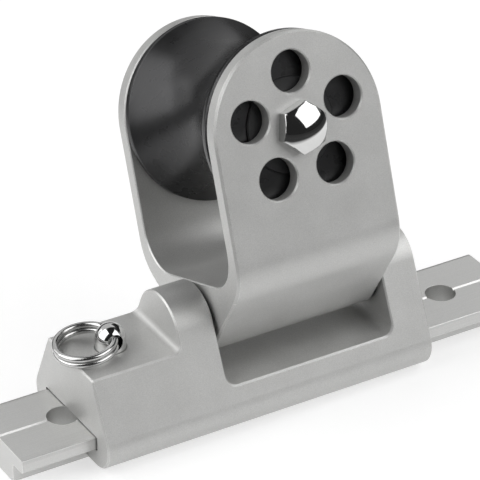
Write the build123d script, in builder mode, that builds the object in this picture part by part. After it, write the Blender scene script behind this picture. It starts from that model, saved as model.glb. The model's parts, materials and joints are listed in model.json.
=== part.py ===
from build123d import *
from math import asin, atan2, cos, hypot, radians, sin
import os

# Sheet lead block: a car on a length of T-track, with a tilting yoke that holds a wide
# sheave, and a sprung plunger that locks the car in the track's holes.
# Millimetres. X runs along the track, Z is up, and Y = 0 is the middle of the track.
# The origin is on the track's underside, below the middle of the yoke.

# Track
track_width = 31.75
track_height = 11.1
flange_thickness = 4.4
stem_width = 19.0
stem_break = 0.5
stem_fillet = 0.8
flange_round = 0.6
groove_width = 0.9
groove_depth = 0.4
track_hole_radius = 5.05
track_hole_pitch = 138.3
track_hole_count = 2
first_hole_x = -76.7
track_end_margin = 22.0

# Car: the body's section is drawn round the hinge and two large lower rounds
hinge_height = 31.0
ear_radius = 12.6
base_round = 8.0
base_round_y = 15.45
deck_gap = 0.8
slot_side_gap = 0.6
slot_top_gap = 0.35
slot_under_gap = 0.3
slot_round = 0.7
neck_gap = 0.6
ear_thickness = 12.7
shelf_length = 30.8
shelf_height = 30.4
shelf_fillet = 2.2
pocket_drop = 14.1
pocket_round = 3.4
car_edge = 0.45

# Hinge: a plain pin, two bushes in the yoke's barrel and two thrust washers
pin_radius = 4.75
pin_fit = 0.05
pin_left_depth = 8.5
pin_break = 0.6
hinge_screw_radius = 5.6
hinge_screw_length = 5.0
hinge_screw_recess = 0.8
screw_socket = 5.0
screw_socket_depth = 3.0
washer_thickness = 1.0
washer_radius = 10.4
washer_gap = 0.1
bush_wall = 1.5
bush_length = 20.0

# Yoke: a U with a barrel under it, leaning back about the hinge
yoke_width = 58.0
yoke_lean = 19.05
yoke_half_depth = 31.7
cheek_thickness = 5.0
barrel_radius = 11.0
corner_round = 16.5
corner_rise = 20.5
cradle_rise = 11.7
cradle_round = 12.0
axle_rise = 56.5
cheek_chamfer = 0.7
cheek_hole_radius = 6.5
cheek_hole_ring = 17.0
cheek_hole_count = 5
cheek_hole_chamfer = 0.4
cradle_edge = 0.35
barrel_edge = 0.6
flank_seam = 0.1

# Axle bolt, its sleeve, washer and lock nut
axle_radius = 4.75
axle_fit = 0.05
head_across_flats = 14.3
head_height = 6.2
head_dome_radius = 12.5
head_turn = 17.5
sleeve_radius = 7.0
axle_washer_radius = 9.5
axle_washer_thickness = 1.6
nut_height = 7.0
nut_collar_radius = 6.4
nut_collar_height = 2.6
nut_collar_round = 0.8
bolt_overhang = 1.4
bolt_tip_break = 0.8

# Sheave: a wide hourglass with thin rims, on two flanged bushes
sheave_throat = 19.5
sheave_side_gap = 0.7
rim_land = 1.6
rim_wall = 1.4
web_recess = 0.5
sheave_bush_fit = 0.05
sheave_bush_wall = 2.6
sheave_bush_length = 19.0
sheave_bush_flange = 14.9
sheave_bush_gap = 0.3
bush_edge = 0.4
rim_edge = 0.35

# Plunger: a domed pin with a cross hole, a clip in a groove and a spring above the clip
plunger_inset = 14.1
plunger_radius = 4.8
plunger_fit = 0.05
plunger_tip_gap = 0.1
plunger_tip_chamfer = 0.8
plunger_wall_rise = 3.1
plunger_bore_break = 0.3
guide_length = 6.0
spring_well_radius = 6.6
clip_rise = 2.1
clip_thickness = 1.0
clip_outer_radius = 6.2
clip_groove_depth = 0.9
clip_slot = 3.6
spring_wire = 0.4
spring_radius = 5.5
spring_coils = 4.5
spring_seat_gap = 0.05
eye_radius = 2.45
eye_rise = 3.6
eye_bearing = 84.0

# Split pull ring: two flat turns of wire with a short crossing between them
ring_radius = 9.2
ring_wire = 1.0
ring_pitch = 2.05
ring_bow = 0.95
ring_droop = 5.9
ring_cross_start = 40.0
ring_cross_end = 66.0


# Places that follow from the sizes above
hole_xs = [first_hole_x + k * track_hole_pitch for k in range(track_hole_count)]
track_left = hole_xs[0] - track_end_margin
track_length = hole_xs[-1] + track_end_margin - track_left
stem_height = track_height - flange_thickness

pocket_floor = hinge_height - pocket_drop
pocket_half = yoke_width / 2 + washer_thickness + 2 * washer_gap
ear_outer = pocket_half + ear_thickness
car_left = -ear_outer - shelf_length
car_length = ear_outer - car_left
base_round_z = deck_gap + base_round
slot_width = track_width + 2 * slot_side_gap
slot_roof = track_height + slot_top_gap
slot_floor = stem_height - slot_under_gap
neck_width = stem_width + 2 * neck_gap
car_reach = base_round_y + base_round + 10

pin_left = -pocket_half - pin_left_depth
pin_right = ear_outer - hinge_screw_recess - hinge_screw_length
bush_radius = pin_radius + pin_fit + bush_wall

lean = radians(yoke_lean)
across = Vector(0, cos(lean), -sin(lean))
upward = Vector(0, sin(lean), cos(lean))
along = Vector(1, 0, 0)
hinge_point = Vector(0, 0, hinge_height)
axle_point = hinge_point + upward * axle_rise
yoke_section_plane = Plane(origin=hinge_point, x_dir=across, z_dir=along)
cheek_plane = Plane(origin=hinge_point, x_dir=along, z_dir=-across)
axle_front_plane = Plane(origin=axle_point, x_dir=along, z_dir=-across)
axle_back_plane = Plane(origin=axle_point, x_dir=-along, z_dir=across)
axle_section_plane = Plane(origin=axle_point, x_dir=across, z_dir=along)
axle_line = Axis(axle_point, across)
across_line = Axis(hinge_point, across)
cradle_half = yoke_half_depth - cheek_thickness
yoke_top = axle_rise + yoke_width / 2
corner_half = yoke_half_depth - corner_round
corner_distance = hypot(corner_half, corner_rise)
flank_angle = atan2(corner_rise, corner_half) - asin((corner_round - barrel_radius) / corner_distance)
flank_top = corner_rise - corner_round * cos(flank_angle) - flank_seam

sheave_radius = yoke_width / 2
sheave_half = cradle_half - sheave_side_gap
sheave_bore = sleeve_radius + sheave_bush_fit + sheave_bush_wall
web_half = sheave_half - web_recess
flange_face = cradle_half - sheave_bush_gap

plunger_x = car_left + plunger_inset
tip_height = track_height + plunger_tip_gap
clip_bottom = tip_height + clip_rise
clip_top = clip_bottom + clip_thickness
groove_radius = plunger_radius - clip_groove_depth
well_roof = shelf_height - guide_length
dome_centre = shelf_height + plunger_wall_rise

eye_point = Vector(plunger_x, 0, shelf_height + eye_rise)
eye_direction = Vector(cos(radians(eye_bearing)), sin(radians(eye_bearing)), 0)
level_out = Vector(-eye_direction.Y, eye_direction.X, 0)
ring_out = level_out * cos(radians(ring_droop)) + Vector(0, 0, -sin(radians(ring_droop)))
ring_normal = -ring_out.cross(eye_direction)
ring_centre = eye_point + ring_out * (ring_radius - ring_bow)
ring_plane = Plane(origin=ring_centre, x_dir=-ring_out, z_dir=ring_normal)


os.makedirs("parts", exist_ok=True)


# Track: a T section with a fine groove down the middle, and plain holes
with BuildPart() as track:
    with BuildSketch(Plane.YZ.offset(track_left)) as track_section:
        with Locations((0, stem_height / 2)):
            Rectangle(stem_width, stem_height)
        with Locations((0, track_height - flange_thickness / 2)):
            Rectangle(track_width, flange_thickness)
        inner_corners = track_section.vertices().filter_by_position(Axis.Z, stem_height, stem_height)
        stem_edge = stem_width / 2 + 0.1
        fillet(inner_corners.filter_by_position(Axis.Y, -stem_edge, stem_edge), stem_fillet)
        outer_corners = track_section.vertices().group_by(Axis.Y)
        fillet(outer_corners[0] + outer_corners[-1], flange_round)
        chamfer(track_section.vertices().group_by(Axis.Z)[0], stem_break)
        with Locations((0, track_height)):
            Rectangle(groove_width, 2 * groove_depth, rotation=45, mode=Mode.SUBTRACT)
    extrude(amount=track_length)
    with Locations([(x, 0, track_height) for x in hole_xs]):
        Hole(track_hole_radius)
track.part.label = "track"
export_step(track.part, "parts/track.step")


# Car body: one section for its whole length, then the shelf, the pocket and the bores
with BuildPart() as car_body:
    with BuildSketch(Plane.YZ.offset(car_left)) as car_section:
        with Locations((0, hinge_height)):
            Circle(ear_radius)
        with Locations((-base_round_y, base_round_z), (base_round_y, base_round_z)):
            Circle(base_round)
        make_hull()
        with Locations((0, (slot_roof + slot_floor) / 2)):
            RectangleRounded(slot_width, slot_roof - slot_floor, slot_round, mode=Mode.SUBTRACT)
        with Locations((0, slot_floor / 2)):
            Rectangle(neck_width, slot_floor + slot_round, mode=Mode.SUBTRACT)
    extrude(amount=car_length)
    with BuildSketch(Plane.XZ) as shelf_space:
        with Locations((car_left - 5, shelf_height)):
            Rectangle(shelf_length + 5, 2 * ear_radius, align=(Align.MIN, Align.MIN))
        inner_corner = shelf_space.vertices().sort_by(Axis.X)[-2:].sort_by(Axis.Z)[0]
        fillet(inner_corner, shelf_fillet)
    extrude(amount=car_reach, both=True, mode=Mode.SUBTRACT)
    with BuildSketch(Plane.XZ) as pocket_space:
        with Locations((0, pocket_floor)):
            Rectangle(2 * pocket_half, hinge_height + ear_radius, align=(Align.CENTER, Align.MIN))
        fillet(pocket_space.vertices().group_by(Axis.Z)[0], pocket_round)
    extrude(amount=car_reach, both=True, mode=Mode.SUBTRACT)
    slot_edges = car_body.edges().filter_by_position(Axis.Z, 0, slot_roof + slot_round)
    slot_edges = slot_edges.filter_by_position(Axis.Y, -slot_width / 2, slot_width / 2)
    chamfer(car_body.edges() - slot_edges, car_edge)
    with Locations(Plane(origin=(ear_outer, 0, hinge_height), x_dir=(0, 1, 0), z_dir=(1, 0, 0))):
        CounterBoreHole(
            pin_radius + pin_fit,
            hinge_screw_radius,
            hinge_screw_length + hinge_screw_recess,
            depth=ear_outer - pin_left,
        )
    with Locations((plunger_x, 0, shelf_height)):
        Hole(plunger_radius + plunger_fit, depth=shelf_height - slot_roof)
    with BuildSketch(Plane.XY.offset(well_roof)):
        with Locations((plunger_x, 0)):
            Circle(spring_well_radius)
    extrude(amount=slot_roof - well_roof, mode=Mode.SUBTRACT)
    bore_rim = car_body.edges().filter_by(GeomType.CIRCLE).filter_by_position(Axis.Z, shelf_height, shelf_height)
    chamfer(bore_rim, plunger_bore_break)
car_body.part.label = "car_body"
export_step(car_body.part, "parts/car_body.step")


# Hinge pin, and the socket screw that closes its bore
with BuildPart() as hinge_pin:
    with BuildSketch(Plane.YZ.offset(pin_left)):
        with Locations((0, hinge_height)):
            Circle(pin_radius)
    extrude(amount=pin_right - pin_left)
    chamfer(hinge_pin.edges().filter_by(GeomType.CIRCLE), pin_break)
hinge_pin.part.label = "hinge_pin"
export_step(hinge_pin.part, "parts/hinge_pin.step")

with BuildPart() as hinge_screw:
    with BuildSketch(Plane.YZ.offset(pin_right)):
        with Locations((0, hinge_height)):
            Circle(hinge_screw_radius)
    extrude(amount=hinge_screw_length)
    chamfer(hinge_screw.edges().group_by(Axis.X)[-1], pin_break)
    with BuildSketch(Plane.YZ.offset(pin_right + hinge_screw_length)):
        with Locations((0, hinge_height)):
            RegularPolygon(radius=screw_socket / 2, side_count=6, major_radius=False)
    extrude(amount=-screw_socket_depth, mode=Mode.SUBTRACT)
hinge_screw.part.label = "hinge_screw"
export_step(hinge_screw.part, "parts/hinge_screw.step")


# Thrust washers beside the barrel, and the bushes pressed into it
for side, direction in (("left", -1), ("right", 1)):
    inner_x = direction * (yoke_width / 2 + washer_gap)
    with BuildPart() as hinge_washer:
        with BuildSketch(Plane.YZ.offset(inner_x)):
            with Locations((0, hinge_height)):
                Circle(washer_radius)
                Circle(pin_radius + pin_fit, mode=Mode.SUBTRACT)
        extrude(amount=direction * washer_thickness)
    hinge_washer.part.label = "hinge_washer_" + side
    export_step(hinge_washer.part, "parts/hinge_washer_" + side + ".step")

    with BuildPart() as hinge_bush:
        with BuildSketch(Plane.YZ.offset(direction * yoke_width / 2)):
            with Locations((0, hinge_height)):
                Circle(bush_radius)
                Circle(pin_radius + pin_fit, mode=Mode.SUBTRACT)
        extrude(amount=-direction * bush_length)
    hinge_bush.part.label = "hinge_bush_" + side
    export_step(hinge_bush.part, "parts/hinge_bush_" + side + ".step")


# Yoke: the cheeks and corners, cut to their outline from a solid block
with BuildPart() as cheek_block:
    with BuildSketch(yoke_section_plane) as upper_section:
        with Locations((-corner_half, corner_rise), (corner_half, corner_rise)):
            Circle(corner_round)
        with Locations((0, corner_rise)):
            Rectangle(2 * yoke_half_depth, yoke_top, align=(Align.CENTER, Align.MIN))
        make_hull()
        with Locations((0, flank_top)):
            Rectangle(4 * yoke_half_depth, yoke_top, align=(Align.CENTER, Align.MAX), mode=Mode.SUBTRACT)
    extrude(amount=yoke_width / 2, both=True)
    with BuildSketch(cheek_plane):
        with Locations((0, axle_rise)):
            Circle(yoke_width / 2)
            Rectangle(yoke_width, axle_rise, align=(Align.CENTER, Align.MAX))
    extrude(amount=2 * yoke_half_depth, both=True, mode=Mode.INTERSECT)
    outer_faces = cheek_block.faces().filter_by(across_line).sort_by(across_line)
    outline = outer_faces[0].edges() + outer_faces[-1].edges()
    chamfer(outline.filter_by(Axis.X, reverse=True), cheek_chamfer)

# Yoke: the barrel and its flanks, joined to the block, then the cradle and the bores
with BuildPart() as yoke:
    with BuildSketch(yoke_section_plane):
        Circle(barrel_radius)
        with Locations((-corner_half, corner_rise), (corner_half, corner_rise)):
            Circle(corner_round)
        make_hull()
        with Locations((0, flank_top)):
            Rectangle(4 * yoke_half_depth, yoke_top, align=(Align.CENTER, Align.MIN), mode=Mode.SUBTRACT)
    extrude(amount=yoke_width / 2, both=True)
    upper_face = yoke.faces().sort_by(Axis(hinge_point, upward))[-1]
    chamfer(yoke.faces().filter_by(Axis.X).edges() - upper_face.edges(), barrel_edge)
    add(cheek_block.part)
    with BuildSketch(yoke_section_plane) as cradle:
        with Locations((0, cradle_rise)):
            Rectangle(2 * cradle_half, yoke_top, align=(Align.CENTER, Align.MIN))
        fillet(cradle.vertices().sort_by(Axis(hinge_point, upward))[:2], cradle_round)
    extrude(amount=yoke_width, both=True, mode=Mode.SUBTRACT)
    inner_faces = yoke.faces().filter_by(across_line).sort_by(across_line)[1:-1]
    chamfer(inner_faces.edges().filter_by(Axis.X, reverse=True), cradle_edge)
    with Locations(cheek_plane.offset(yoke_half_depth)):
        with Locations((0, axle_rise)):
            Hole(axle_radius + axle_fit)
            with PolarLocations(cheek_hole_ring, cheek_hole_count, start_angle=90):
                Hole(cheek_hole_radius)
    rims = yoke.edges().filter_by(GeomType.CIRCLE)
    chamfer(rims.filter_by(lambda edge: abs(edge.radius - cheek_hole_radius) < 0.001), cheek_hole_chamfer)
    with BuildSketch(Plane.YZ):
        with Locations((0, hinge_height)):
            Circle(bush_radius)
    extrude(amount=yoke_width, both=True, mode=Mode.SUBTRACT)
yoke.part.label = "yoke"
export_step(yoke.part, "parts/yoke.step")


# Axle bolt: a domed hexagon head against the front cheek, and a plain shank
with BuildPart() as axle_bolt:
    with BuildSketch(axle_front_plane.offset(yoke_half_depth)):
        RegularPolygon(radius=head_across_flats / 2, side_count=6, major_radius=False, rotation=head_turn)
    extrude(amount=head_height)
    with Locations(axle_front_plane.offset(yoke_half_depth + head_height - head_dome_radius)):
        Sphere(head_dome_radius, mode=Mode.INTERSECT)
    with BuildSketch(axle_front_plane.offset(yoke_half_depth)):
        Circle(axle_radius)
    extrude(amount=-2 * yoke_half_depth - axle_washer_thickness - nut_height - nut_collar_height - bolt_overhang)
    chamfer(axle_bolt.edges().sort_by(axle_line)[-1], bolt_tip_break)
axle_bolt.part.label = "axle_bolt"
export_step(axle_bolt.part, "parts/axle_bolt.step")

with BuildPart() as axle_sleeve:
    with BuildSketch(axle_front_plane):
        Circle(sleeve_radius)
        Circle(axle_radius + axle_fit, mode=Mode.SUBTRACT)
    extrude(amount=cradle_half, both=True)
axle_sleeve.part.label = "axle_sleeve"
export_step(axle_sleeve.part, "parts/axle_sleeve.step")

with BuildPart() as axle_washer:
    with BuildSketch(axle_back_plane.offset(yoke_half_depth)):
        Circle(axle_washer_radius)
        Circle(axle_radius + axle_fit, mode=Mode.SUBTRACT)
    extrude(amount=axle_washer_thickness)
axle_washer.part.label = "axle_washer"
export_step(axle_washer.part, "parts/axle_washer.step")

# Lock nut: a hexagon with chamfered corners and a round collar
with BuildPart() as axle_nut:
    with BuildSketch(axle_back_plane.offset(yoke_half_depth + axle_washer_thickness)):
        RegularPolygon(radius=head_across_flats / 2, side_count=6, major_radius=False)
    extrude(amount=nut_height)
    with Locations(axle_back_plane.offset(yoke_half_depth + axle_washer_thickness + nut_height - head_dome_radius)):
        Sphere(head_dome_radius, mode=Mode.INTERSECT)
    with BuildSketch(axle_back_plane.offset(yoke_half_depth + axle_washer_thickness)):
        Circle(nut_collar_radius)
    extrude(amount=nut_height + nut_collar_height)
    fillet(axle_nut.edges().sort_by(axle_line)[-1], nut_collar_round)
    with BuildSketch(axle_back_plane.offset(yoke_half_depth + axle_washer_thickness)):
        Circle(axle_radius)
    extrude(amount=nut_height + nut_collar_height, mode=Mode.SUBTRACT)
axle_nut.part.label = "axle_nut"
export_step(axle_nut.part, "parts/axle_nut.step")


# Sheave: half its section is drawn, mirrored and turned about the axle
with BuildPart() as sheave:
    with BuildSketch(axle_section_plane) as sheave_section:
        with BuildLine():
            groove_edge = sheave_half - rim_land
            groove = ThreePointArc(
                (-groove_edge, sheave_radius),
                (0, sheave_throat),
                (groove_edge, sheave_radius),
            )
            side = Polyline(
                (groove_edge, sheave_radius),
                (sheave_half, sheave_radius),
                (sheave_half, sheave_radius - rim_wall),
                (web_half, sheave_radius - rim_wall - web_recess),
                (web_half, sheave_bore),
            )
            mirror(side, about=Plane.YZ)
            Line((web_half, sheave_bore), (-web_half, sheave_bore))
        make_face()
        rim_corners = sheave_section.vertices().group_by(Axis(axle_point, upward))[-1]
        fillet(rim_corners, rim_edge)
    revolve(axis=axle_line)
sheave.part.label = "sheave"
export_step(sheave.part, "parts/sheave.step")

# Flanged bushes that carry the sheave on the sleeve, one from each side
for side, direction in (("front", -1), ("back", 1)):
    with BuildPart() as sheave_bush:
        with BuildSketch(axle_section_plane):
            with Locations((direction * flange_face, sleeve_radius + sheave_bush_fit)):
                corner = (Align.MIN, Align.MIN) if direction < 0 else (Align.MAX, Align.MIN)
                Rectangle(flange_face - web_half, sheave_bush_flange - sleeve_radius - sheave_bush_fit, align=corner)
                Rectangle(sheave_bush_length, sheave_bush_wall, align=corner)
        revolve(axis=axle_line)
        rim = sheave_bush.edges().filter_by(GeomType.CIRCLE).sort_by(SortBy.RADIUS)[-2:].sort_by(axle_line)
        chamfer(rim[0] if direction < 0 else rim[-1], bush_edge)
    sheave_bush.part.label = "sheave_bush_" + side
    export_step(sheave_bush.part, "parts/sheave_bush_" + side + ".step")


# Plunger pin: turned to a dome at the top, grooved for its clip and cross-drilled
with BuildPart() as plunger_pin:
    with BuildSketch(Plane.XY.offset(tip_height)):
        with Locations((plunger_x, 0)):
            Circle(plunger_radius)
    extrude(amount=dome_centre - tip_height)
    chamfer(plunger_pin.edges().group_by(Axis.Z)[0], plunger_tip_chamfer)
    with Locations((plunger_x, 0, dome_centre)):
        Sphere(plunger_radius)
    with BuildSketch(Plane.XY.offset(clip_bottom)):
        with Locations((plunger_x, 0)):
            Circle(plunger_radius)
            Circle(groove_radius, mode=Mode.SUBTRACT)
    extrude(amount=clip_thickness, mode=Mode.SUBTRACT)
    with BuildSketch(Plane(origin=eye_point, x_dir=level_out, z_dir=eye_direction)):
        Circle(eye_radius)
    extrude(amount=2 * plunger_radius, both=True, mode=Mode.SUBTRACT)
plunger_pin.part.label = "plunger_pin"
export_step(plunger_pin.part, "parts/plunger_pin.step")

# Clip: a ring with a slot in one side, snapped into the pin's groove
with BuildPart() as plunger_clip:
    with BuildSketch(Plane.XY.offset(clip_bottom)):
        with Locations((plunger_x, 0)):
            Circle(clip_outer_radius)
            Circle(groove_radius, mode=Mode.SUBTRACT)
            Rectangle(clip_outer_radius, clip_slot, align=(Align.MIN, Align.CENTER), mode=Mode.SUBTRACT)
    extrude(amount=clip_thickness)
plunger_clip.part.label = "plunger_clip"
export_step(plunger_clip.part, "parts/plunger_clip.step")

spring_bottom = clip_top + spring_seat_gap + spring_wire
spring_height = well_roof - spring_seat_gap - spring_wire - spring_bottom
with BuildPart() as plunger_spring:
    with BuildLine() as coil:
        Helix(
            pitch=spring_height / spring_coils,
            height=spring_height,
            radius=spring_radius,
            center=(plunger_x, 0, spring_bottom),
        )
    with BuildSketch(Plane(origin=coil.line @ 0, z_dir=coil.line % 0)):
        Circle(spring_wire)
    sweep(path=coil.line, is_frenet=True)
plunger_spring.part.label = "plunger_spring"
export_step(plunger_spring.part, "parts/plunger_spring.step")


# Pull ring: each turn lies in its own plane, and a short piece of wire joins them
turn_angle = 360 - (ring_cross_end - ring_cross_start)
lower_plane = ring_plane.offset(-ring_pitch / 2)
upper_plane = ring_plane.offset(ring_pitch / 2)


def wire_section(turn_plane, angle):
    """The plane across the wire at an angle round one turn of the ring."""
    radial = turn_plane.x_dir * cos(radians(angle)) + turn_plane.y_dir * sin(radians(angle))
    forward = turn_plane.y_dir * cos(radians(angle)) - turn_plane.x_dir * sin(radians(angle))
    return Plane(origin=turn_plane.origin + radial * ring_radius, x_dir=radial, z_dir=forward)


with BuildPart() as pull_ring:
    for turn_plane in (lower_plane, upper_plane):
        with BuildSketch(wire_section(turn_plane, ring_cross_end)):
            Circle(ring_wire)
        revolve(axis=Axis(turn_plane.origin, turn_plane.z_dir), revolution_arc=turn_angle)
    with BuildSketch(wire_section(lower_plane, ring_cross_start)):
        Circle(ring_wire)
    with BuildSketch(wire_section(upper_plane, ring_cross_end)):
        Circle(ring_wire)
    loft()
pull_ring.part.label = "pull_ring"
export_step(pull_ring.part, "parts/pull_ring.step")
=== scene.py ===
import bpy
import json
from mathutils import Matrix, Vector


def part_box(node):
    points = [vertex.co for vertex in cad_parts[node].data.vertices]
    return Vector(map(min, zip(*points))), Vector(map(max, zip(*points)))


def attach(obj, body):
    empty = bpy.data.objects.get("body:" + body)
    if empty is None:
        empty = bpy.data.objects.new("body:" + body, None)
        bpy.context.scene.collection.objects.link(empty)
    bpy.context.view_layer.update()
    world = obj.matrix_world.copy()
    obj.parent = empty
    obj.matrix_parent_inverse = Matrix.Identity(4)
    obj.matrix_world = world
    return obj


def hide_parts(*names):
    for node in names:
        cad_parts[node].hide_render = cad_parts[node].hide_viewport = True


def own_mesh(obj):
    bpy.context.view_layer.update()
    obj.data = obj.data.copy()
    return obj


bl_info = {
    "name": "Sheet lead block",
    "version": (1, 0, 0),
    "blender": (4, 5, 0),
    "location": "View3D > Sidebar > Lead block",
    "description": "Dresses the sheet lead block: finishes, smooth turned pieces and a studio",
    "category": "Object",
}

import json
import math

import bmesh
import bpy
from bpy.props import FloatProperty, FloatVectorProperty, IntProperty, PointerProperty
from mathutils import Matrix, Vector

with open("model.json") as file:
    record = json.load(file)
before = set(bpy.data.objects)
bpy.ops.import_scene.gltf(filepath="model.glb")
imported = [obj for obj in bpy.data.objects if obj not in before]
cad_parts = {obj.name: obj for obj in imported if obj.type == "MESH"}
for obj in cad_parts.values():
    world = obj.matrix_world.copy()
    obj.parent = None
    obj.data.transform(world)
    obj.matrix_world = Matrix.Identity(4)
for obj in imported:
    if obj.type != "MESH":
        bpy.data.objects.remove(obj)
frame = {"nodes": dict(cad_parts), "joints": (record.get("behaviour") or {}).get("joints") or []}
NODES = frame["nodes"]
JOINTS = {joint["name"]: joint for joint in frame["joints"]}
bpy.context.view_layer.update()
MM = 0.001
FULL_TURN = 2 * math.pi

# How finely the new pieces are made
MERGE_DISTANCE = 0.002 * MM
CUT_DISTANCE = 0.0001 * MM
MANY_CORNERS = 9
GROOVE_STEPS = 40
BOLT_STEPS = 96
DOME_RINGS = 14
BEVEL_SEGMENTS = 4
RING_POINTS = 144
COIL_POINTS = 108

# The studio, in metres
LOOK_AT = Vector((-13.94, 0.0, 53.92)) * MM
LAMPS_AIM_AT = Vector((0.0, 0.0, 0.06))
SENSOR_WIDTH = 36.0
NEAREST_SEEN = 0.05
FLOOR_HALF_WIDTH = 6.0
MIRRORED_MIDDLE = Vector((0.16, 0.1, 0.0))
MIRRORED_FADE = 1.3
MIRRORED_DARK = 0.04
FAR_LIFT = 1.67
FAR_LIFT_START = 0.25
FAR_LIFT_END = 1.0


def colour(name, description, value):
    """A colour setting."""
    return FloatVectorProperty(
        name=name, description=description, default=value, subtype="COLOR", size=3, min=0.0, max=1.0
    )


def length(name, description, value):
    """A length setting, given in millimetres and kept in metres."""
    return FloatProperty(
        name=name, description=description, default=value * MM, unit="LENGTH", precision=5
    )


def amount(name, description, value, top=1.0):
    """A plain number setting from nothing to top."""
    return FloatProperty(name=name, description=description, default=value, min=0.0, max=top)


def angle(name, description, value):
    """An angle setting, given in degrees."""
    return FloatProperty(
        name=name, description=description, default=math.radians(value), subtype="ANGLE"
    )


def power(name, description, value):
    """A lamp's power setting."""
    return FloatProperty(name=name, description=description, default=value, unit="POWER", min=0.0)


class AlloySettings(bpy.types.PropertyGroup):
    """Finish of the bead-blasted car and yoke, and of the anodised track."""

    body_colour: colour("Body colour", "Colour of the blasted alloy", (0.6, 0.6, 0.59))
    body_roughness: amount("Body roughness", "Roughness of the blasted alloy", 0.5)
    grain: length("Grain", "Size of the blasting's pits", 0.28)
    track_colour: colour("Track colour", "Colour of the track", (0.62, 0.62, 0.61))
    track_roughness: amount("Track roughness", "Roughness of the track", 0.36)


class SheaveSettings(bpy.types.PropertyGroup):
    """Shape and finish of the sheave, and the finish of the bearings."""

    rim_radius: length("Rim radius", "Radius over the rims", 29.0)
    throat_radius: length("Throat radius", "Radius at the bottom of the groove", 19.5)
    half_width: length("Half width", "From the middle to a rim's side", 26.0)
    rim_land: length("Rim land", "Width of each rim's flat", 2.0)
    rim_wall: length("Rim wall", "Height of each rim's flat side", 1.4)
    web_recess: length("Web recess", "How far the web stands back from the rim", 0.5)
    bore_radius: length("Bore radius", "Radius of the bore", 9.65)
    edge: length("Edge", "Size of the rims' edge breaks", 0.35)
    steps: IntProperty(name="Steps", description="Facets round the sheave", default=192, min=24)
    black: colour("Black", "Colour of the sheave", (0.032, 0.032, 0.033))
    roughness: amount("Roughness", "Roughness of the sheave", 0.28)
    plastic: colour("Plastic", "Colour of the bushes and thrust washers", (0.02, 0.02, 0.021))
    plastic_roughness: amount("Plastic roughness", "Roughness of the bushes and washers", 0.34)


class SteelSettings(bpy.types.PropertyGroup):
    """Shape and finish of the axle bolt, the plunger pin, the pull ring and the spring."""

    flats: length("Across flats", "Width of the bolt's head", 14.3)
    head_height: length("Head height", "Height of the bolt's head", 6.2)
    head_dome: length("Head dome", "Radius of the head's dome", 12.5)
    head_turn: angle("Head turn", "How far the head is turned", 17.5)
    head_face: length("Head face", "From the middle of the axle to the head's seat", 31.7)
    head_edge: length("Head edge", "Rounding of the head's edges", 0.18)
    shank_radius: length("Shank radius", "Radius of the bolt's shank", 4.75)
    shank_length: length("Shank length", "From the head's seat to the bolt's end", 76.0)
    shank_chamfer: length("Shank chamfer", "Chamfer of the bolt's end", 0.8)
    steel: colour("Steel", "Colour of polished steel", (0.62, 0.62, 0.615))
    polish: amount("Polish", "Roughness of polished steel", 0.06)
    wire: colour("Wire", "Colour of the drawn wire", (0.56, 0.56, 0.555))
    wire_roughness: amount("Wire roughness", "Roughness of the drawn wire", 0.2)
    plain: colour("Plain steel", "Colour of turned steel", (0.6, 0.6, 0.6))
    plain_roughness: amount("Plain roughness", "Roughness of turned steel", 0.28)
    ring_radius: length("Ring radius", "Radius of the ring's turns, to the wire's middle", 9.2)
    ring_wire: length("Ring wire", "Radius of the pull ring's wire", 1.0)
    ring_pitch: length("Ring pitch", "From one turn of the ring to the other", 2.05)
    ring_bow: length("Ring bow", "How far the ring reaches past the middle of the eye", 0.95)
    ring_droop: angle("Ring droop", "How far the ring hangs down from the level", 5.9)
    ring_cross: angle("Ring crossing", "Where round the ring the wire crosses over", 24.0)
    ring_sweep: angle("Crossing sweep", "How far round the ring the crossing goes", 34.0)
    spring_wire: length("Spring wire", "Radius of the plunger spring's wire", 0.4)
    spring_coils: amount("Spring coils", "Turns of the plunger's spring", 4.5, 20.0)


class StageSettings(bpy.types.PropertyGroup):
    """Camera, lamps and floor."""

    azimuth: angle("Azimuth", "Camera's angle round the part, from its front to its left", 30.876)
    elevation: angle("Elevation", "Camera's angle above the floor", 30.539)
    distance: length("Distance", "From the camera to the point it looks at", 920.3)
    focal: FloatProperty(
        name="Focal length", description="The lens, in millimetres", default=225.96, unit="CAMERA"
    )
    right_power: power("Right softbox", "Power of the softbox to the right of the camera", 5.0)
    left_power: power("Left softbox", "Power of the softbox on the left", 5.8)
    back_power: power("Back lamp", "Power of the wide lamp behind the part", 5.3)
    rear_power: power("Rear lamp", "Power of the low lamp behind on the left", 0.8)
    edge_power: power("Edge lamp", "Power of the wide lamp behind on the right", 0.8)
    room: colour("Room", "Colour of the dim room round the table", (0.025, 0.025, 0.025))
    floor_colour: colour("Floor colour", "Colour of the floor", (0.5, 0.5, 0.5))
    floor_white: amount("Floor white", "How far the floor is lifted to white where seen", 0.6, 2.0)
    floor_reach: length("Floor reach", "Radius of the floor that steel mirrors as white", 330.0)


class LeadBlockSettings(bpy.types.PropertyGroup):
    """All settings of the lead block."""

    alloy: PointerProperty(type=AlloySettings)
    sheave: PointerProperty(type=SheaveSettings)
    steel: PointerProperty(type=SteelSettings)
    stage: PointerProperty(type=StageSettings)


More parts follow.
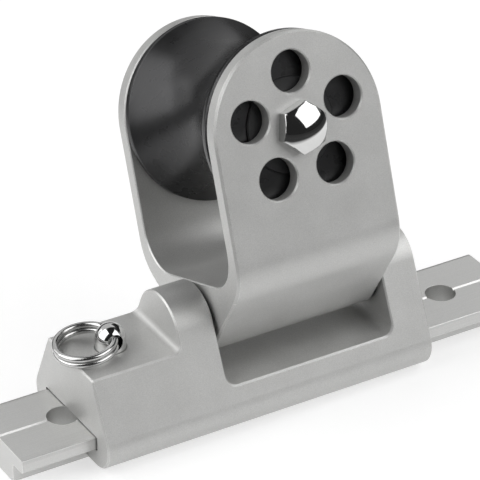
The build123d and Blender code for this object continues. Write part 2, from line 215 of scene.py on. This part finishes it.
class Nodes:
    """A material's node tree, with short ways to add and join nodes."""

    def __init__(self, name):
        self.material = bpy.data.materials.new(name)
        self.material.use_nodes = True
        self.tree = self.material.node_tree
        self.shader = self.tree.nodes["Principled BSDF"]
        self.coordinates = self.add("ShaderNodeTexCoord").outputs["Object"]

    def add(self, kind, **values):
        node = self.tree.nodes.new(kind)
        for key, value in values.items():
            setattr(node, key, value)
        return node

    def join(self, output, socket):
        self.tree.links.new(output, socket)

    def set(self, **values):
        """Sets the shader's own sockets, named with _ for each space."""
        for key, value in values.items():
            socket = self.shader.inputs[key.replace("_", " ")]
            socket.default_value = value if isinstance(value, (int, float)) else (*value, 1.0)

    def mapping(self, scale=(1, 1, 1), turn=(0, 0, 0), place=(0, 0, 0)):
        node = self.add("ShaderNodeMapping")
        node.inputs["Scale"].default_value = scale
        node.inputs["Rotation"].default_value = turn
        node.inputs["Location"].default_value = place
        self.join(self.coordinates, node.inputs["Vector"])
        return node.outputs["Vector"]

    def noise(self, size, detail=2.0, vector=None, rough=0.5):
        node = self.add("ShaderNodeTexNoise")
        node.inputs["Scale"].default_value = 1.0 / size
        node.inputs["Detail"].default_value = detail
        node.inputs["Roughness"].default_value = rough
        self.join(vector or self.coordinates, node.inputs["Vector"])
        return node.outputs["Fac"]

    def spread(self, value, low, high, start=0.3, end=0.7):
        """From low to high as the value goes from start to end, by default a noise's usual span."""
        node = self.add("ShaderNodeMapRange")
        node.inputs["From Min"].default_value = start
        node.inputs["From Max"].default_value = end
        node.inputs["To Min"].default_value = low
        node.inputs["To Max"].default_value = high
        self.join(value, node.inputs["Value"])
        return node.outputs["Result"]

    def vary(self, noise, share):
        """A factor that the noise moves round one by a share either way."""
        return self.spread(noise, 1.0 - share, 1.0 + share)

    def fade(self, mask, factor):
        """One where the mask is nothing, and the factor where the mask is one."""
        return self.spread(mask, 1.0, factor, start=0.0, end=1.0)

    def times(self, one, other, operation="MULTIPLY"):
        node = self.add("ShaderNodeMath", operation=operation)
        self.join(one, node.inputs[0])
        self.join(other, node.inputs[1])
        return node.outputs["Value"]

    def plus(self, one, other):
        return self.times(one, other, "ADD")

    def shade(self, base, factor):
        """The base colour, made lighter or darker by a factor."""
        node = self.add("ShaderNodeVectorMath", operation="SCALE")
        node.inputs[0].default_value = base
        self.join(factor, node.inputs["Scale"])
        self.join(node.outputs["Vector"], self.shader.inputs["Base Color"])

    def roughen(self, roughness):
        self.join(roughness, self.shader.inputs["Roughness"])

    def edges(self, radius):
        """One on outer and inner edges within a radius, nothing on the faces between them."""
        edge_cosine = 0.9
        face_cosine = 0.995
        rounded = self.add("ShaderNodeBevel", samples=6)
        rounded.inputs["Radius"].default_value = radius
        facing = self.add("ShaderNodeVectorMath", operation="DOT_PRODUCT")
        self.join(rounded.outputs["Normal"], facing.inputs[0])
        self.join(self.add("ShaderNodeNewGeometry").outputs["Normal"], facing.inputs[1])
        return self.spread(facing.outputs["Value"], 1.0, 0.0, start=edge_cosine, end=face_cosine)

    def bump(self, height, depth, strength=1.0, radius=None):
        """Relief of a depth, over edges that look rounded by a radius where one is given."""
        node = self.add("ShaderNodeBump")
        node.inputs["Strength"].default_value = strength
        node.inputs["Distance"].default_value = depth
        self.join(height, node.inputs["Height"])
        if radius:
            rounded = self.add("ShaderNodeBevel", samples=4)
            rounded.inputs["Radius"].default_value = radius
            self.join(rounded.outputs["Normal"], node.inputs["Normal"])
        self.join(node.outputs["Normal"], self.shader.inputs["Normal"])


def blasted_alloy(alloy):
    """Bead-blasted and clear-anodised alloy: a fine even grain with faint clouds, and a painted
    highlight along its edges.
    """
    cloud_size = 9 * MM
    pit_depth = 0.03 * MM
    edge_highlight_radius = 0.28 * MM
    nodes = Nodes("blasted_alloy")
    nodes.set(Metallic=0.72, IOR=1.5)
    pits = nodes.noise(alloy.grain, detail=3.0, rough=0.6)
    clouds = nodes.noise(cloud_size, detail=3.0)
    tone = nodes.times(nodes.vary(pits, 0.1), nodes.vary(clouds, 0.03))
    # Painted highlight: the colour is lightened by 35% along edges within the radius; the edges are
    # also made smoother there.
    edge_highlight_mask = nodes.edges(edge_highlight_radius)
    nodes.shade(alloy.body_colour, nodes.times(tone, nodes.fade(edge_highlight_mask, 1.35)))
    rough = nodes.spread(clouds, alloy.body_roughness - 0.03, alloy.body_roughness + 0.03)
    nodes.roughen(nodes.times(rough, nodes.fade(edge_highlight_mask, 0.55)))
    nodes.bump(pits, pit_depth, strength=0.55)
    return nodes.material


def track_alloy(alloy):
    """Satin anodised track: drawn lines along its length over a fine grain, and a painted highlight
    along its edges.
    """
    line_width = 0.25 * MM
    line_stretch = 0.01
    grain_size = 0.35 * MM
    line_depth = 0.01 * MM
    edge_highlight_radius = 0.35 * MM
    nodes = Nodes("track_alloy")
    nodes.set(Metallic=0.8, IOR=1.5)
    lines = nodes.noise(line_width, vector=nodes.mapping(scale=(line_stretch, 1, 1)))
    grain = nodes.noise(grain_size)
    tone = nodes.times(nodes.vary(lines, 0.04), nodes.vary(grain, 0.04))
    # Painted highlight: the colour is lightened by half along edges within the radius.
    edge_highlight_mask = nodes.edges(edge_highlight_radius)
    nodes.shade(alloy.track_colour, nodes.times(tone, nodes.fade(edge_highlight_mask, 1.5)))
    nodes.roughen(nodes.spread(lines, alloy.track_roughness - 0.04, alloy.track_roughness + 0.05))
    nodes.bump(lines, line_depth, strength=0.4, radius=0.2 * MM)
    return nodes.material


def black_alloy(sheave, tilt):
    """Hard black anodising on a turned sheave: satin, with faint turning lines and painted highlights
    on the rims' edges.
    """
    line_width = 0.22 * MM
    line_stretch = 0.02
    dust_size = 5 * MM
    line_depth = 0.006 * MM
    edge_highlight_radius = 0.35 * MM
    nodes = Nodes("black_alloy")
    nodes.set(Metallic=0.55, IOR=1.5, Coat_Weight=0.12, Coat_Roughness=0.3)
    turned = nodes.mapping(turn=(tilt, 0, 0), scale=(line_stretch, 1, line_stretch))
    lines = nodes.noise(line_width, vector=turned)
    dust = nodes.noise(dust_size, detail=4.0)
    tone = nodes.times(nodes.vary(lines, 0.08), nodes.vary(dust, 0.06))
    # Painted highlight: the black is made seven times lighter along edges within the radius, drawing
    # light lines on the rims.
    edge_highlight_mask = nodes.edges(edge_highlight_radius)
    nodes.shade(sheave.black, nodes.times(tone, nodes.fade(edge_highlight_mask, 7.0)))
    nodes.roughen(nodes.spread(dust, sheave.roughness - 0.03, sheave.roughness + 0.04))
    nodes.bump(lines, line_depth, strength=0.35)
    return nodes.material


def black_plastic(sheave):
    """Moulded black bearing plastic."""
    grain_size = 0.5 * MM
    grain_depth = 0.01 * MM
    middle = sheave.plastic_roughness
    nodes = Nodes("black_bearing")
    nodes.set(IOR=1.46)
    grain = nodes.noise(grain_size, detail=3.0)
    nodes.shade(sheave.plastic, nodes.vary(grain, 0.15))
    nodes.roughen(nodes.spread(grain, middle - 0.04, middle + 0.04))
    nodes.bump(grain, grain_depth, strength=0.3)
    return nodes.material


def polished_steel(steel):
    """Mirror-polished stainless steel with the faintest wipe marks."""
    mark_size = 3 * MM
    mark_depth = 0.001 * MM
    nodes = Nodes("polished_steel")
    nodes.set(Metallic=1.0)
    marks = nodes.noise(mark_size, detail=4.0)
    nodes.shade(steel.steel, nodes.vary(marks, 0.02))
    nodes.roughen(nodes.spread(marks, steel.polish - 0.02, steel.polish + 0.03))
    nodes.bump(marks, mark_depth, strength=0.2, radius=0.2 * MM)
    return nodes.material


def drawn_steel(steel):
    """Bright drawn wire: softer than a polish, with fine scuffs."""
    scuff_size = 0.8 * MM
    scuff_depth = 0.001 * MM
    nodes = Nodes("drawn_steel")
    nodes.set(Metallic=1.0)
    scuffs = nodes.noise(scuff_size, detail=5.0, rough=0.7)
    nodes.shade(steel.wire, nodes.vary(scuffs, 0.06))
    nodes.roughen(nodes.spread(scuffs, steel.wire_roughness - 0.04, steel.wire_roughness + 0.05))
    nodes.bump(scuffs, scuff_depth, strength=0.1)
    return nodes.material


def plain_steel(steel):
    """Turned stainless steel."""
    grain_size = 0.4 * MM
    grain_depth = 0.01 * MM
    nodes = Nodes("plain_steel")
    nodes.set(Metallic=1.0)
    grain = nodes.noise(grain_size, detail=3.0)
    nodes.shade(steel.plain, nodes.vary(grain, 0.05))
    nodes.roughen(nodes.spread(grain, steel.plain_roughness - 0.04, steel.plain_roughness + 0.06))
    nodes.bump(grain, grain_depth, strength=0.3, radius=0.15 * MM)
    return nodes.material


def dress(material, *names):
    """Gives CAD nodes a finish in all their slots."""
    for name in names:
        mesh = NODES[name].data
        if not mesh.materials:
            mesh.materials.append(material)
        for index in range(len(mesh.materials)):
            mesh.materials[index] = material


def finished(name, bm, body, material, slot, *stands_for, place=None, sharp=35):
    """Turns a bmesh into a smooth piece that rides on a CAD body; faces of many corners stay flat."""
    if place is not None:
        bmesh.ops.transform(bm, matrix=place, verts=bm.verts)
    bmesh.ops.remove_doubles(bm, verts=bm.verts, dist=MERGE_DISTANCE)
    bmesh.ops.recalc_face_normals(bm, faces=bm.faces)
    limit = math.radians(sharp)
    for edge in bm.edges:
        edge.smooth = len(edge.link_faces) == 2 and edge.calc_face_angle() < limit
    for face in bm.faces:
        face.smooth = len(face.verts) < MANY_CORNERS
    mesh = bpy.data.meshes.new(name)
    bm.to_mesh(mesh)
    bm.free()
    mesh.materials.append(material)
    piece = bpy.data.objects.new(name, mesh)
    bpy.context.scene.collection.objects.link(piece)
    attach(piece, body)
    if stands_for:
        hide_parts(*stands_for)
    return piece


def axle_place():
    """Local Z lies along the axle, towards the back, and local Y points down the yoke."""
    joint = JOINTS["sheave_spin"]
    along = Vector(joint["axis"]).normalized()
    right = Vector((1, 0, 0))
    down = along.cross(right).normalized()
    turn = Matrix((right, down, along)).transposed().to_4x4()
    return Matrix.Translation(Vector(joint["pos_m"])) @ turn


def spun(points, steps, closed=True):
    """A section of (radius, height) points spun about local Z; an open one ends on the axis."""
    bm = bmesh.new()
    verts = [bm.verts.new((radius, 0, height)) for radius, height in points]
    ends = verts[1:] + verts[:1] if closed else verts[1:]
    for one, other in zip(verts, ends):
        bm.edges.new((one, other))
    bmesh.ops.spin(
        bm, geom=bm.verts[:] + bm.edges[:], cent=(0, 0, 0), axis=(0, 0, 1),
        angle=FULL_TURN, steps=steps, use_merge=True,
    )
    return bm


def tube(points, radius):
    """A round wire along a smooth line through or near the points, closed at both ends."""
    curve = bpy.data.curves.new("wire", "CURVE")
    curve.dimensions = "3D"
    curve.bevel_depth = radius
    curve.bevel_resolution = 6
    curve.use_fill_caps = True
    curve.resolution_u = 4
    spline = curve.splines.new("NURBS")
    spline.points.add(len(points) - 1)
    for point, place in zip(spline.points, points):
        point.co = (*place, 1.0)
    spline.order_u = 4
    spline.use_endpoint_u = True
    wire = bpy.data.objects.new("wire", curve)
    bm = bmesh.new()
    bm.from_mesh(bpy.data.meshes.new_from_object(wire))
    bpy.data.objects.remove(wire)
    return bm


class LEADBLOCK_OT_alloy(bpy.types.Operator):
    """Finish the car, the yoke and the track."""

    bl_idname = "leadblock.alloy"
    bl_label = "Alloy pieces"

    def execute(self, context):
        alloy = context.scene.lead_block.alloy
        dress(blasted_alloy(alloy), "car_body", "yoke")
        dress(track_alloy(alloy), "track")
        return {"FINISHED"}


class LEADBLOCK_OT_bearings(bpy.types.Operator):
    """Finish the bushes, the thrust washers and the turned steel."""

    bl_idname = "leadblock.bearings"
    bl_label = "Bearings and turned steel"

    def execute(self, context):
        settings = context.scene.lead_block
        dress(
            black_plastic(settings.sheave),
            "hinge_washer_left", "hinge_washer_right", "hinge_bush_left", "hinge_bush_right",
            "sheave_bush_front", "sheave_bush_back",
        )
        dress(
            plain_steel(settings.steel),
            "hinge_pin", "hinge_screw", "axle_sleeve", "axle_washer", "axle_nut", "plunger_clip",
        )
        return {"FINISHED"}


class LEADBLOCK_OT_sheave(bpy.types.Operator):
    """Turn the sheave."""

    bl_idname = "leadblock.sheave"
    bl_label = "Sheave"

    def execute(self, context):
        s = context.scene.lead_block.sheave
        axis = Vector(JOINTS["sheave_spin"]["axis"])
        tilt = math.atan2(-axis.z, axis.y)
        back = self.side(s)
        front = [(radius, -height) for radius, height in reversed(back)]
        finished(
            "turned_sheave", spun(self.groove(s) + back + front, s.steps), "roller",
            black_alloy(s, tilt), "black_alloy", "sheave", place=axle_place(), sharp=25,
        )
        return {"FINISHED"}

    def groove(self, s):
        """The groove's arc as (radius, height) points, without its ends on the rims."""
        rim = s.half_width - s.rim_land
        depth = s.rim_radius - s.throat_radius
        arc_radius = (rim * rim + depth * depth) / (2 * depth)
        bm = bmesh.new()
        start = bm.verts.new((s.rim_radius, 0, -rim))
        bmesh.ops.spin(
            bm, geom=[start], cent=(s.throat_radius + arc_radius, 0, 0), axis=(0, 1, 0),
            angle=2 * math.asin(rim / arc_radius), steps=GROOVE_STEPS,
        )
        arc = sorted(((v.co.x, v.co.z) for v in bm.verts), key=lambda point: point[1])
        bm.free()
        return arc[1:-1]

    def side(self, s):
        """The back rim, its flat side and the web down to the bore."""
        rim = s.half_width - s.rim_land
        inner = s.rim_radius - s.rim_wall
        web = s.half_width - s.web_recess
        ease = 0.3 * s.edge
        return [
            (s.rim_radius - ease, rim - ease),
            (s.rim_radius, rim + s.edge - ease),
            (s.rim_radius, s.half_width - s.edge),
            (s.rim_radius - s.edge, s.half_width),
            (inner, s.half_width),
            (inner - s.web_recess, web),
            (s.bore_radius, web),
        ]


class LEADBLOCK_OT_axle(bpy.types.Operator):
    """Make the axle bolt with its domed hexagon head."""

    bl_idname = "leadblock.axle"
    bl_label = "Axle bolt"

    def execute(self, context):
        s = context.scene.lead_block.steel
        seat = -s.head_face
        bm = spun(self.section(s, seat), BOLT_STEPS, closed=False)
        bmesh.ops.remove_doubles(bm, verts=bm.verts, dist=MERGE_DISTANCE)
        self.cut_flats(bm, s)
        bmesh.ops.recalc_face_normals(bm, faces=bm.faces)
        self.round_edges(bm, s, seat)
        bmesh.ops.dissolve_degenerate(bm, edges=bm.edges, dist=MERGE_DISTANCE)
        finished(
            "domed_bolt", bm, "tilting_yoke", polished_steel(s), "polished_steel", "axle_bolt",
            place=axle_place(), sharp=25,
        )
        return {"FINISHED"}

    def section(self, s, seat):
        """The round blank from the top of its dome to the shank's end, wider than the hexagon."""
        centre = seat - s.head_height + s.head_dome
        flat = s.flats / 2
        outer = 1.2 * flat
        inside_flats = math.asin(0.99 * flat / s.head_dome)
        tilts = [inside_flats * index / DOME_RINGS for index in range(DOME_RINGS + 1)]
        tilts.append(math.asin(outer / s.head_dome))
        dome = [
            (s.head_dome * math.sin(tilt), centre - s.head_dome * math.cos(tilt)) for tilt in tilts
        ]
        end = seat + s.shank_length
        return dome + [
            (outer, seat),
            (s.shank_radius, seat),
            (s.shank_radius, end - s.shank_chamfer),
            (s.shank_radius - s.shank_chamfer, end),
            (0.0, end),
        ]

    def cut_flats(self, bm, s):
        """Cuts the six flats and closes each with one face."""
        for index in range(6):
            turn = s.head_turn + math.radians(30 + 60 * index)
            side = Vector((math.cos(turn), -math.sin(turn), 0.0))
            cut = bmesh.ops.bisect_plane(
                bm, geom=bm.verts[:] + bm.edges[:] + bm.faces[:], dist=CUT_DISTANCE,
                plane_co=side * s.flats / 2, plane_no=side, clear_outer=True,
            )
            rim = [item for item in cut["geom_cut"] if isinstance(item, bmesh.types.BMEdge)]
            bmesh.ops.contextual_create(bm, geom=rim)

    def round_edges(self, bm, s, seat):
        """Rounds the head's sharp edges, apart from those on its seat."""
        sharp_angle = 0.5
        above_seat = seat - 0.01 * MM
        sharp = [
            edge for edge in bm.edges
            if len(edge.link_faces) == 2 and edge.calc_face_angle() > sharp_angle
            and sum(v.co.z for v in edge.verts) / 2 < above_seat
        ]
        bmesh.ops.bevel(
            bm, geom=sharp, offset=s.head_edge, affect="EDGES", segments=BEVEL_SEGMENTS,
            profile=0.5, material=-1,
        )


class LEADBLOCK_OT_plunger(bpy.types.Operator):
    """Finish the plunger pin and make its ring and spring."""

    bl_idname = "leadblock.plunger"
    bl_label = "Plunger and ring"

    def execute(self, context):
        s = context.scene.lead_block.steel
        dress(polished_steel(s), "plunger_pin")
        self.ring(s)
        self.coil(s)
        return {"FINISHED"}

    def ring(self, s):
        """A split ring: two flat turns of wire with a smooth crossing from one to the other."""
        joint = JOINTS["ring_swing"]
        eye = Vector(joint["axis"]).normalized()
        level = Vector((-eye.y, eye.x, 0.0)).normalized()
        out = level * math.cos(s.ring_droop) - Vector((0, 0, math.sin(s.ring_droop)))
        normal = eye.cross(out)
        middle = Vector(joint["pos_m"]) + out * (s.ring_radius - s.ring_bow)
        turned = Matrix((-out, normal.cross(-out), normal)).transposed().to_4x4()
        half = s.ring_sweep / 2
        start = s.ring_cross + half
        end = s.ring_cross - half + 2 * FULL_TURN
        crossing = s.ring_cross - half + FULL_TURN
        points = []
        for index in range(RING_POINTS + 1):
            turn = start + (end - start) * index / RING_POINTS
            share = min(max((turn - crossing) / s.ring_sweep, 0.0), 1.0)
            smooth = share * share * (3 - 2 * share)
            rise = (smooth - 0.5) * s.ring_pitch
            points.append((s.ring_radius * math.cos(turn), s.ring_radius * math.sin(turn), rise))
        finished(
            "split_ring", tube(points, s.ring_wire), "ring", drawn_steel(s), "polished_steel",
            "pull_ring", place=Matrix.Translation(middle) @ turned, sharp=50,
        )

    def coil(self, s):
        """The spring under the shelf, wound inside the CAD spring's box; it rides with the plunger."""
        low, high = (Vector(corner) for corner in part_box("plunger_spring"))
        middle = (low + high) / 2
        radius = (high.x - low.x) / 2 - s.spring_wire
        height = high.z - low.z
        climb = height - 2 * s.spring_wire
        points = []
        for index in range(COIL_POINTS + 1):
            share = index / COIL_POINTS
            turn = FULL_TURN * s.spring_coils * share
            x = middle.x + radius * math.cos(turn)
            y = middle.y + radius * math.sin(turn)
            points.append((x, y, low.z + s.spring_wire + climb * share))
        piece = finished(
            "coil_spring", tube(points, s.spring_wire), "plunger", plain_steel(s), "steel",
            "plunger_spring", sharp=50,
        )
        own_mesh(piece)


class LEADBLOCK_OT_stage(bpy.types.Operator):
    """Set the camera, the lamps, the room and the floor."""

    bl_idname = "leadblock.stage"
    bl_label = "Stage"

    def execute(self, context):
        s = context.scene.lead_block.stage
        context.scene.view_settings.view_transform = "Standard"
        self.camera(s)
        self.lamp("right_softbox", s.right_power, 0.8, bearing=46, rise=40, size=(1.0, 0.75))
        self.lamp("left_softbox", s.left_power, 0.8, bearing=-98, rise=34, size=(0.8, 1.0))
        self.lamp("back_lamp", s.back_power, 1.2, bearing=172, rise=42, size=(2.2, 1.2))
        self.lamp("rear_lamp", s.rear_power, 0.9, bearing=-136, rise=18, size=(0.5, 0.5))
        self.lamp("edge_lamp", s.edge_power, 1.2, bearing=112, rise=35, size=(1.4, 1.0))
        self.world(s.room)
        self.floor(s.floor_colour, s.floor_white, s.floor_reach)
        return {"FINISHED"}

    def camera(self, s):
        """A long lens, turned to a point of the part."""
        back = Vector((
            -math.sin(s.azimuth) * math.cos(s.elevation),
            -math.cos(s.azimuth) * math.cos(s.elevation),
            math.sin(s.elevation),
        ))
        camera = bpy.data.objects.new("camera", bpy.data.cameras.new("camera"))
        camera.location = LOOK_AT + back * s.distance
        camera.rotation_euler = (-back).to_track_quat("-Z", "Y").to_euler()
        camera.data.lens = s.focal
        camera.data.sensor_width = SENSOR_WIDTH
        camera.data.clip_start = NEAREST_SEEN
        bpy.context.scene.collection.objects.link(camera)
        bpy.context.scene.camera = camera

    def lamp(self, name, strength, distance, bearing, rise, size):
        """A softbox turned to the part, placed by its bearing from the front and its rise."""
        turn = math.radians(bearing)
        lift = math.radians(rise)
        away = Vector((
            math.sin(turn) * math.cos(lift),
            -math.cos(turn) * math.cos(lift),
            math.sin(lift),
        ))
        data = bpy.data.lights.new(name, "AREA")
        data.shape = "RECTANGLE"
        data.size, data.size_y = size
        data.energy = strength
        lamp = bpy.data.objects.new(name, data)
        lamp.location = LAMPS_AIM_AT + away * distance
        lamp.rotation_euler = (-away).to_track_quat("-Z", "Y").to_euler()
        bpy.context.scene.collection.objects.link(lamp)

    def world(self, tone):
        """A plain grey room."""
        world = bpy.data.worlds.new("studio")
        bpy.context.scene.world = world
        world.use_nodes = True
        background = world.node_tree.nodes["Background"]
        background.inputs["Color"].default_value = (*tone, 1.0)

    def floor(self, tone, white, reach):
        """A wide pale floor, lifted to white where it is seen; past a reach, steel mirrors it dark."""
        bm = bmesh.new()
        bmesh.ops.create_grid(bm, x_segments=1, y_segments=1, size=FLOOR_HALF_WIDTH)
        mesh = bpy.data.meshes.new("floor")
        bm.to_mesh(mesh)
        bm.free()
        nodes = Nodes("pale_floor")
        nodes.set(Roughness=0.9, Specular_IOR_Level=0.2, Emission_Color=(1.0, 1.0, 1.0))
        away = nodes.add("ShaderNodeVectorMath", operation="LENGTH")
        nodes.join(nodes.mapping(place=-MIRRORED_MIDDLE), away.inputs[0])
        near = nodes.spread(
            away.outputs["Value"], 1.0, MIRRORED_DARK, start=reach, end=MIRRORED_FADE * reach
        )
        path = nodes.add("ShaderNodeLightPath")
        glossy = path.outputs["Is Glossy Ray"]
        level = nodes.add("ShaderNodeMix", data_type="FLOAT")
        level.inputs["A"].default_value = 1.0
        nodes.join(glossy, level.inputs["Factor"])
        nodes.join(near, level.inputs["B"])
        nodes.shade(tone, level.outputs["Result"])
        seen = nodes.plus(path.outputs["Is Camera Ray"], path.outputs["Is Transmission Ray"])
        seen = nodes.plus(seen, nodes.times(glossy, near))
        spot = nodes.add("ShaderNodeVectorMath", operation="LENGTH")
        nodes.join(nodes.coordinates, spot.inputs[0])
        lift = nodes.spread(
            spot.outputs["Value"], white, FAR_LIFT * white, start=FAR_LIFT_START, end=FAR_LIFT_END
        )
        nodes.join(nodes.times(seen, lift), nodes.shader.inputs["Emission Strength"])
        mesh.materials.append(nodes.material)
        floor = bpy.data.objects.new("floor", mesh)
        bpy.context.scene.collection.objects.link(floor)


class LEADBLOCK_PT_panel(bpy.types.Panel):
    """Lists the lead block's operators and settings."""

    bl_idname = "LEADBLOCK_PT_panel"
    bl_label = "Sheet lead block"
    bl_space_type = "VIEW_3D"
    bl_region_type = "UI"
    bl_category = "Lead block"

    def draw(self, context):
        layout = self.layout
        for operator in OPERATORS:
            layout.operator(operator.bl_idname)
        settings = context.scene.lead_block
        for group in (settings.alloy, settings.sheave, settings.steel, settings.stage):
            box = layout.box()
            for name in group.__annotations__:
                box.prop(group, name)


OPERATORS = (
    LEADBLOCK_OT_alloy,
    LEADBLOCK_OT_bearings,
    LEADBLOCK_OT_sheave,
    LEADBLOCK_OT_axle,
    LEADBLOCK_OT_plunger,
    LEADBLOCK_OT_stage,
)
SETTINGS = (AlloySettings, SheaveSettings, SteelSettings, StageSettings, LeadBlockSettings)


def register():
    for cls in (*SETTINGS, *OPERATORS, LEADBLOCK_PT_panel):
        bpy.utils.register_class(cls)
    bpy.types.Scene.lead_block = PointerProperty(type=LeadBlockSettings)


def unregister():
    del bpy.types.Scene.lead_block
    for cls in reversed((*SETTINGS, *OPERATORS, LEADBLOCK_PT_panel)):
        bpy.utils.unregister_class(cls)


def main():
    register()
    bpy.ops.leadblock.alloy()
    bpy.ops.leadblock.bearings()
    bpy.ops.leadblock.sheave()
    bpy.ops.leadblock.axle()
    bpy.ops.leadblock.plunger()
    bpy.ops.leadblock.stage()


if __name__ == "__main__":
    main()
